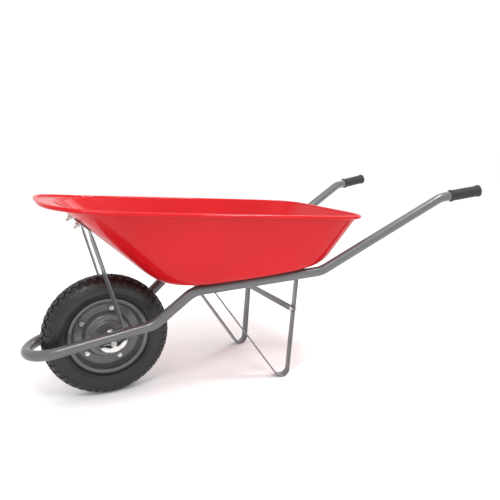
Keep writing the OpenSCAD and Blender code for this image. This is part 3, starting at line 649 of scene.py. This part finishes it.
# ---------------------------------------- legs, crossbar, braces, saddles, straps
def strip_piece(name, path, sides, width, thickness, slot, stands_for, mirror, radius=0.9, end_round=0.0):
    """A flat bar along path. end_round rounds its two ends in the bar's own plane."""
    path = [Vector(p) for p in path]
    run = [0.0]
    for a, b in zip(path, path[1:]):
        run.append(run[-1] + (b - a).length)
    s = Shape()
    n = len(path)
    verts, faces = [], []
    for i, p in enumerate(path):
        t = (path[min(i + 1, n - 1)] - path[max(i - 1, 0)]).normalized()
        side = Vector(sides[i])
        side = (side - t * side.dot(t)).normalized()
        out = side.cross(t)
        d = min(run[i], run[-1] - run[i])
        w = width
        if end_round > 0 and d < end_round:
            k = 1 - d / end_round
            w = width * (1 - 0.98 * (1 - math.sqrt(max(0.0, 1 - k * k)))) if k < 1 else width * 0.02
        sec = bar_section(max(w, 0.4), thickness, min(radius, max(w, 0.4) * 0.4))
        m = len(sec)
        verts += [p + side * a + out * b for a, b in sec]
    for i in range(n - 1):
        for k in range(m):
            j = (k + 1) % m
            faces.append((i * m + k, i * m + j, (i + 1) * m + j, (i + 1) * m + k))
    faces.append(list(range(m))[::-1])
    faces.append([(n - 1) * m + k for k in range(m)])
    s.add(verts, faces, PLACE @ (MIRROR if mirror else Matrix.Identity(4)))
    return add_piece(name, s.verts, s.faces, slot, "frame", stands_for, 40)


def leg_path():
    """The strip's middle line in the leg's plane, as (x, z)."""
    front, rear = 180 + FRONT_LEAN, 360 - REAR_LEAN
    front_sin, front_cos = math.sin(math.radians(FRONT_LEAN)), math.cos(math.radians(FRONT_LEAN))
    rear_sin, rear_cos = math.sin(math.radians(REAR_LEAN)), math.cos(math.radians(REAR_LEAN))

    def top(x):
        return KNEE_HIGH.z + FLOOR_SLOPE * (x - KNEE_HIGH.x) + TUBE_R / math.cos(FLOOR_TILT)

    def foot(a):
        a = math.radians(a)
        return Vector((FOOT_X + LEG_MID_R * math.cos(a), FOOT_R + LEG_MID_R * math.sin(a)))

    front_l = (top(LEG_PLAN_X) - TUBE_R - FOOT_R) / front_cos + 2
    rear_l = (top(STRAP_X[1]) - FOOT_R) / rear_cos + LEG_MID_R * rear_sin - 2
    f, r = Vector((-front_sin, front_cos)), Vector((rear_sin, rear_cos))
    k = 24
    path = [foot(front) + f * front_l * t for t in (1, 0.75, 0.5, 0.25)]
    path += [foot(front + (rear - front) * i / k) for i in range(k + 1)]
    return path + [foot(rear) + r * rear_l * t for t in (0.25, 0.5, 0.75, 1)]


def make_legs():
    flat = leg_path()
    path = [LEG_PLANE @ Vector((p.x, 0, p.y)) for p in flat]
    across = (LEG_PLANE.to_3x3() @ Vector((0, 1, 0))).normalized()
    for name, mirror in (("left_leg", False), ("right_leg", True)):
        strip_piece(name + "_strip", path, [across] * len(path), LEG_W, LEG_T, "frame_paint", (name,),
                    mirror, 1.0)


def make_braces():
    z = RAIL_DROP + TUBE_R + SEAT + BRACE_T / 2
    low = [AT_RAIL @ Vector((x, 0, z)) for x in (-BRACE_W / 2, BRACE_FOOT_X)]
    high = [AT_BRACE @ Vector((x, 0, BRACE_SEAT + BRACE_T / 2)) for x in (-TAB_DOWN, TAB_UP)]
    path = even(rounded([low[0], low[1], high[0], high[1]], 5.0, 8), 6.0)
    run = [0.0]
    for a, b in zip(path, path[1:]):
        run.append(run[-1] + (b - a).length)
    side_low = Vector((0, 1, 0))
    side_high = (AT_BRACE.to_3x3() @ Vector((0, -1, 0))).normalized()
    if side_high.y < 0:
        side_high = -side_high
    strut = (high[0] - low[1]).normalized()
    side_mid = Matrix.Rotation(math.radians(BRACE_TURN), 3, strut) @ Vector((0, 1, 0))
    start = (low[1] - low[0]).length
    end = run[-1] - (high[1] - high[0]).length
    sides = []
    for d in run:
        if d < start:
            s = side_low
        elif d > end:
            s = side_high
        else:
            a = min(1.0, (d - start) / 34.0)
            b = min(1.0, (end - d) / 34.0)
            a, b = a * a * (3 - 2 * a), b * b * (3 - 2 * b)
            s = side_low.lerp(side_mid, a) if a < 1 else (side_high.lerp(side_mid, b) if b < 1 else side_mid)
        sides.append(s)
    for name, mirror in (("left_brace", False), ("right_brace", True)):
        strip_piece(name + "_strip", path, sides, BRACE_W, BRACE_T, "frame_paint", (name,),
                    mirror, 0.8, BRACE_W / 2)


def make_crossbar():
    off = CROSS_OFF + CROSS_T / 2
    end_l = AT_CROSS @ Vector((0, -LEG_W / 2, off))
    in_l = AT_CROSS @ Vector((0, LEG_W / 2 - 2, off))
    path = [end_l, in_l, MIRROR @ in_l, MIRROR @ end_l]
    path = even(rounded(path, 8.0, 6), 12.0)
    side = (AT_CROSS.to_3x3() @ Vector((1, 0, 0))).normalized()
    strip_piece("leg_crossbar_strip", path, [side] * len(path), CROSS_H, CROSS_T, "frame_paint",
                ("leg_crossbar",), False, 0.8, 4.0)


def make_straps():
    for name, x, in (("front_cross_strap", STRAP_X[0]), ("rear_cross_strap", STRAP_X[1])):
        share = (x - KNEE_HIGH.x) / (HANDLE_KNEE.x - KNEE_HIGH.x)
        half = -KNEE_HIGH.y - (HANDLE_KNEE.y - KNEE_HIGH.y) * share
        z = -TRAY_T - SEAT - STRAP_T / 2
        path = even([on_floor(x) @ Vector((0, -half, z)), on_floor(x) @ Vector((0, half, z))], 6.0)
        side = (on_floor(x).to_3x3() @ Vector((1, 0, 0))).normalized()
        strip_piece(name + "_bar", path, [side] * len(path), STRAP_W, STRAP_T, "frame_paint", (name,),
                    False, 1.0, 7.0)


def plate(points, thickness, bevel):
    """A flat plate from z = 0 to thickness with its two edges rolled over."""
    area = sum(points[i - 1][0] * p[1] - p[0] * points[i - 1][1] for i, p in enumerate(points))
    turn = 1 if area > 0 else -1
    n = len(points)
    verts, faces = [], []
    for z, inset in ((0.0, bevel), (bevel * 0.3, bevel * 0.3), (bevel, 0.0), (thickness - bevel, 0.0),
                     (thickness - bevel * 0.3, bevel * 0.3), (thickness, bevel)):
        for i, p in enumerate(points):
            along = (Vector(points[(i + 1) % n]) - Vector(points[i - 1])).normalized()
            q = Vector(p) - Vector((along.y, -along.x)) * turn * inset
            verts.append((q.x, q.y, z))
    for k in range(5):
        for i in range(n):
            j = (i + 1) % n
            faces.append((k * n + i, k * n + j, (k + 1) * n + j, (k + 1) * n + i))
    faces += [list(range(n))[::-1], [5 * n + i for i in range(n)]]
    return Shape().add(verts, faces)


def make_saddles():
    across = Vector((0, 1, 0))
    rail, low = RAIL_DROP - TUBE_R - SEAT, -AXLE_R - SEAT
    middle = SADDLE_T / 2
    points = [(-36, rail), (-11, low), (11, low), (36, rail)]
    path = even(rounded([AT_RAIL @ Vector((x, 0, z - middle)) for x, z in points], 5.0, 8), 2.0)
    for name, mirror in (("left_axle_saddle", False), ("right_axle_saddle", True)):
        strip_piece(name + "_strap", path, [across] * len(path), SADDLE_W, SADDLE_T, "zinc", (name,), mirror)

    wing = [(11, low), (29, rail), (36, rail - 5), (25, low - 7), (9, low - 13)]
    edge = wing + [(-x, z) for x, z in reversed(wing)]
    flange = plate(rounded(edge, [2, 3, 3, 5, 4, 4, 5, 3, 3, 2], 4, True), SADDLE_T, 0.7)
    boss = [(AXIS, -1.4), (3.2, -1.4), (4.6, -0.5), (6.2, 0.0), (7.6, -0.2), (8.4, -0.9),
            (8.5, -3.0), (AXIS, -3.0)]
    outer = SADDLE_W / 2
    s = Shape()
    for m in both(AT_RAIL):
        flange.copy_to(s, PLACE @ m @ move(0, SADDLE_T - outer, 0) @ FACE_LEFT)
        flange.copy_to(s, PLACE @ m @ move(0, outer, 0) @ FACE_LEFT)
        lathe(boss, 64).copy_to(s, PLACE @ m @ move(0, -outer, -14) @ FACE_LEFT)
    add_piece("saddle_flanges", s.verts, s.faces, "zinc", "frame", (), 35)


def make_fasteners():
    tail = 4.0            # the thread that stands out past a nut
    long_tail = 10.0      # the same on the bolts of the braces
    rim_web = 2.1         # from the middle plane to a nut's seat on the rim
    turned = rot("X", 180)

    grip = TRAY_T + SEAT + STRAP_T + SEAT
    places = [on_floor(STRAP_X[i]) @ move(0, s * STRAP_Y[i], 0) for i in (0, 1) for s in (-1, 1)]
    length = grip + WASHER_T + NUT_H + tail + SEAT
    fasteners("tray_bolts", dome_bolt(length, NUT_H + tail), [m @ move(0, 0, SEAT) for m in places])
    fasteners("tray_washers", washer(), [m @ move(0, 0, -grip - WASHER_T) for m in places])
    fasteners("tray_nuts", hex_nut(), [m @ move(0, 0, -grip - WASHER_T - SEAT) @ turned for m in places])

    length = 2 * TRAY_T + BRACE_SEAT + BRACE_T + WASHER_T + NUT_H + long_tail + 2 * SEAT
    head = AT_BRACE @ turned @ move(0, 0, 2 * TRAY_T)
    seat = BRACE_SEAT + BRACE_T + SEAT
    fasteners("brace_bolts", dome_bolt(length, NUT_H + long_tail), both(head))
    fasteners("brace_washers", washer(), both(AT_BRACE @ move(0, 0, seat)))
    fasteners("brace_nuts", hex_nut(), both(AT_BRACE @ move(0, 0, seat + WASHER_T + SEAT)))

    top = CROSS_OFF + CROSS_T + SEAT
    length = top + LEG_T / 2 + NUT_H + tail
    fasteners("crossbar_bolts", hex_bolt(length, NUT_H + tail), both(AT_CROSS @ move(0, 0, top)))
    fasteners("crossbar_nuts", hex_nut(), both(AT_CROSS @ move(0, 0, -LEG_T / 2 - SEAT) @ turned))

    top = RAIL_DROP + TUBE_R + BRACE_T + 2 * SEAT
    under = -AXLE_R - SEAT - SADDLE_T - SEAT
    length = top - under + WASHER_T + NUT_H + tail
    fasteners("saddle_bolts", hex_bolt(length, NUT_H + tail + 6), both(AT_RAIL @ move(0, 0, top)))
    fasteners("saddle_washers", washer(), both(AT_RAIL @ move(0, 0, under - WASHER_T)))
    fasteners("saddle_nuts", hex_nut(), both(AT_RAIL @ move(0, 0, under - WASHER_T - SEAT) @ turned))

    rim = [WHEEL @ rot("Y", -5 - i * 72) @ move(RIM_BOLT_CIRCLE_R, 0, 0) @ FACE_LEFT for i in range(5)]
    shape = hex_bolt(4 + NUT_H + 4, NUT_H + 4)
    fasteners("rim_bolts", shape, [m @ turned @ move(0, 0, rim_web) for m in rim], "wheel")
    fasteners("rim_nuts", hex_nut(), [m @ move(0, 0, rim_web) for m in rim], "wheel")


# ---------------------------------------- grips
def make_grips():
    d = (GRIP_SEAT - GRIP_KNEE).normalized()
    length, cap, body_r, flange_r = 110.0, 8.0, 17.4, 19.3
    start = GRIP_SEAT + d * cap - d * length
    turns = 192
    bore_r, edge_r = 15.1, flange_r - 1.2
    prof = [(bore_r, 0.0), (edge_r, 0.0)]
    collar = [(edge_r, 0.0), (flange_r, 1.2), (flange_r, 3.8), (body_r + 0.3, 5.4)]
    prof += [tuple(p) for p in rounded(collar, [0, 1.0, 1.0, 0], 4)][1:]
    z, pitch = 7.0, 2.4
    while z < length - cap - 3.0:
        prof += [(body_r - 0.45, z), (body_r - 0.05, z + 0.45), (body_r, z + 1.35), (body_r - 0.45, z + 1.8)]
        z += pitch
    end = [(body_r, length - cap - 1.0), (flange_r, length - cap + 0.6), (flange_r, length - 1.6),
           (flange_r - 2.4, length), (AXIS, length - 0.4)]
    prof += [tuple(p) for p in rounded(end, [0, 1.4, 1.6, 2.0, 0], 5)]
    prof += [(AXIS, length - cap + 3), (bore_r, length - cap + 3)]
    aim = move(*start) @ d.to_track_quat("Z", "Y").to_matrix().to_4x4()
    base = lathe(prof, turns)
    for name, mirror in (("left_grip", False), ("right_grip", True)):
        s = Shape()
        base.copy_to(s, PLACE @ (MIRROR if mirror else Matrix.Identity(4)) @ aim)
        add_piece(name + "_ribbed", s.verts, s.faces, "grip_rubber", "frame", (name,), 30)


# ---------------------------------------- wheel
RIM_T = 2.0
SECTION_MID_R, TYRE_HALF_W = 138.0, 43.0


def make_rims():
    face = [(22.1, 34.0), (43, 34.0), (49, 26.0), (62, 24.0), (67.5, 2.0), (88, 2.0), (92, 4.0), (95, 10.0),
            (99.6, 20.0), (99.8, 29.0), (104.0, 31.0), (109.0, 30.2)]
    radii = [0, 5.0, 5.0, 6.0, 4.0, 3.0, 3.0, 3.0, 5.0, 2.5, 1.6, 0]
    front = rounded(face, radii, 6)
    back = []
    for i, p in enumerate(front):
        t = (front[min(i + 1, len(front) - 1)] - front[max(i - 1, 0)]).normalized()
        n = Vector((t.y, -t.x))
        back.append(p + n * (RIM_T - 0.1))
    prof = [tuple(p) for p in front] + [tuple((p.x, max(p.y, 0.05))) for p in reversed(back)]
    turns = 192
    for name, face_m in (("left_rim_half", FACE_LEFT), ("right_rim_half", FACE_RIGHT)):
        s = Shape()
        lathe(prof, turns).copy_to(s, PLACE @ WHEEL @ face_m)
        add_piece(name + "_pressing", s.verts, s.faces, "rim_paint", "wheel", (name,), 50)


def make_hub():
    end = [(17.6, 47.0), (17.6, 57.2), (18.6, 58.0), (21.0, 58.0), (22.0, 57.0)]
    mirrored = [(r, -z) for r, z in reversed(end)]
    prof = rounded(end + mirrored + [(14.5, -47.0), (14.5, 47.0)], 0.3, 2, True)
    s = Shape()
    lathe([tuple(p) for p in prof], 96).copy_to(s, PLACE @ WHEEL @ FACE_RIGHT)
    add_piece("hub_tube", s.verts, s.faces, "rim_paint", "wheel", ("hub",), 40)
    shields = Shape()
    for m in (FACE_LEFT, FACE_RIGHT):
        ring = rounded([(11.4, 57.2), (14.2, 57.3), (14.2, 56.6), (11.4, 56.6)], 0.25, 2, True)
        lathe([tuple(p) for p in ring], 72).copy_to(shields, PLACE @ WHEEL @ m)
    add_piece("bearing_shields", shields.verts, shields.faces, "bearing_steel", "wheel", (), 40)


def section(a, w, h, power=2.3):
    a = math.radians(a)
    return Vector((SECTION_MID_R + h * spow(math.sin(a), 2 / power), w * spow(math.cos(a), 2 / power)))


def make_tyre():
    """Carcass with sidewall rings, then the tread's lugs as raised blocks on it."""
    low = 4.4             # depth of the tread
    full_h = TYRE_R - SECTION_MID_R
    half_w, top = TYRE_HALF_W - 1.5, full_h - low
    turns = 360
    side_y = 28.9
    bead = [(101.7, 18), (101.7, side_y - 1.5), (103.2, side_y), (110.2, side_y)]
    prof = [Vector(p) for p in bead]
    raw = [section(a, half_w, top) for a in [x * 0.5 for x in range(-96, 181)]]
    # rings on the sidewall: radius, height and half width of each
    ring_marks = ((111.5, 0.7, 1.6), (117.5, 0.9, 1.1), (146.0, 0.9, 1.2), (150.5, 0.5, 0.9),
                  (128.0, 0.35, 5.0))
    wall = []
    for i, p in enumerate(raw):
        t = raw[min(i + 1, len(raw) - 1)] - raw[max(i - 1, 0)]
        n = Vector((t.y, -t.x)).normalized()
        n = n if n.y > 0 or abs(p.y) < 5 else -n
        lift = sum(h * math.exp(-((p.x - r) / w) ** 2) for r, h, w in ring_marks) if p.y > 20 else 0.0
        if p.x > 110.5 or p.y > 34:
            wall.append(p + n * lift)
    prof += wall
    mirrored = [Vector((p.x, -p.y)) for p in reversed(prof[:-1])]
    inner = [section(a, half_w - 5.5, top - 4) for a in range(228, -49, -8)]
    full = prof + mirrored + inner
    s = Shape()
    lathe([tuple(p) for p in full], turns).copy_to(s, PLACE @ WHEEL @ FACE_RIGHT)

    # the outer line of the section by distance from the crown, for laying the lugs on
    crown = [section(a, TYRE_HALF_W, full_h) for a in [90 - 0.5 * x for x in range(0, 190)]]
    under = [section(a, half_w, top) for a in [90 - 0.5 * x for x in range(0, 190)]]
    run = [0.0]
    for a, b in zip(crown, crown[1:]):
        run.append(run[-1] + (b - a).length)

    def at(v, h):
        side = -1 if v < 0 else 1
        v = abs(v)
        k = 0
        while k < len(run) - 2 and run[k + 1] < v:
            k += 1
        t = min(1.0, (v - run[k]) / max(1e-9, run[k + 1] - run[k]))
        o, i = crown[k].lerp(crown[k + 1], t), under[k].lerp(under[k + 1], t)
        p = i.lerp(o, h)
        return p.x, side * p.y

    def lug(corners, height=1.0, inset=0.55, cells=(3, 4)):
        """A block over a four-cornered patch of (turn in degrees, distance from the crown)."""
        nu, nv = cells
        grid = {}
        verts, faces = [], []
        cu = sum(c[0] for c in corners) / 4
        cv = sum(c[1] for c in corners) / 4
        deg = 360 / (2 * math.pi * TYRE_R)
        for level in (0, 1):
            pts = []
            for u, v in corners:
                du, dv = (u - cu) / deg, v - cv
                l = math.hypot(du, dv)
                f = (l + (inset if level == 0 else -inset)) / l
                pts.append((cu + du * f * deg, cv + dv * f))
            for i in range(nu + 1):
                for j in range(nv + 1):
                    a, b = i / nu, j / nv
                    u, v = [(pts[0][k] * (1 - a) + pts[1][k] * a) * (1 - b)
                            + (pts[3][k] * (1 - a) + pts[2][k] * a) * b for k in (0, 1)]
                    r, y = at(v, height if level else -0.12)
                    grid[level, i, j] = len(verts)
                    t = math.radians(u)
                    verts.append((r * math.cos(t), r * math.sin(t), y))
        for level in (0, 1):
            for i in range(nu):
                for j in range(nv):
                    q = [grid[level, m, n] for m, n in ((i, j), (i + 1, j), (i + 1, j + 1), (i, j + 1))]
                    faces.append(q if level else q[::-1])
        edge = [(i, 0) for i in range(nu)] + [(nu, j) for j in range(nv)]
        edge += [(i, nv) for i in range(nu, 0, -1)] + [(0, j) for j in range(nv, 0, -1)]
        for k, e in enumerate(edge):
            f = edge[(k + 1) % len(edge)]
            faces.append((grid[0, *e], grid[0, *f], grid[1, *f], grid[1, *e]))
        return verts, faces

    count = 46
    step = 360 / count
    m = PLACE @ WHEEL @ FACE_RIGHT
    for i in range(count):
        u = i * step
        for side in (-1, 1):
            phase = 0 if side < 0 else step / 2
            c = u + phase
            reach = 51.0 if i % 2 == 0 else 46.0
            # shoulder lug, running down on to the sidewall
            s.add(*lug([(c - step * 0.31, side * 25.5), (c + step * 0.25, side * 25.5),
                        (c + step * 0.31, side * reach), (c - step * 0.25, side * reach)], cells=(3, 10)), m)
            # middle block, turned against the shoulder's
            s.add(*lug([(c + step * 0.08, side * 13.0), (c + step * 0.72, side * 11.0),
                        (c + step * 0.60, side * 23.0), (c + step * 0.04, side * 22.0)], cells=(3, 4)), m)
        # crown block, one each turn, slanted
        s.add(*lug([(u - step * 0.38, -8.8), (u + step * 0.26, -8.8),
                    (u + step * 0.38, 8.8), (u - step * 0.26, 8.8)], cells=(3, 6)), m)
    # small blocks stand low between the shoulder lugs
    for i in range(count):
        for side in (-1, 1):
            c = (i + 0.5) * step + (0 if side < 0 else step / 2)
            a, b = c - step * 0.09, c + step * 0.09
            near, far = side * 36, side * 42
            s.add(*lug([(a, near), (b, near), (b, far), (a, far)], 0.45, 0.3, (1, 2)), m)
    add_piece("tyre_with_tread", s.verts, s.faces, "tyre_rubber", "wheel", ("tyre",), 38)


def make_valve():
    at_valve = WHEEL @ move(0, 13, 0) @ rot("Y", 90 - 113)
    prof = [(AXIS, 50.5), (2.5, 50.5), (2.6, 51.5), (2.6, 60.0), (3.6, 61.5), (4.0, 64.0), (4.0, 88.0),
            (5.2, 90.0), (5.2, 91.0), (4.0, 93.0), (4.0, 117.0), (AXIS, 117.0)]
    s = Shape()
    lathe(prof, 32).copy_to(s, PLACE @ at_valve)
    add_piece("valve_stem_rubber", s.verts, s.faces, "tube_rubber", "wheel", ("valve_stem",), 35)
    cap = Shape()
    turns = 64
    verts, faces = [], []
    levels = [(AXIS, 50.0), (3.0, 50.0), (3.9, 50.6), (4.1, 52.0),
              (4.1, 61.5), (2.7, 61.8), (2.7, 52.0), (AXIS, 52.0)]
    for i in range(turns):
        a = 2 * math.pi * i / turns
        for k, (r, z) in enumerate(levels):
            rr = r - (0.3 if i % 4 < 2 and k in (3, 4) else 0.0)
            verts.append((rr * math.cos(a), rr * math.sin(a), z))
    n = len(levels)
    for i in range(turns):
        j = (i + 1) % turns
        for k in range(n - 1):
            faces.append((i * n + k, j * n + k, j * n + k + 1, i * n + k + 1))
    cap.add(verts, faces, PLACE @ at_valve)
    add_piece("valve_cap_knurled", cap.verts, cap.faces, "tube_rubber", "wheel", ("valve_cap",), 35)


make_tray()
make_legs()
make_braces()
make_crossbar()
make_straps()
make_saddles()
make_fasteners()
make_grips()
make_rims()
make_hub()
make_tyre()
make_valve()
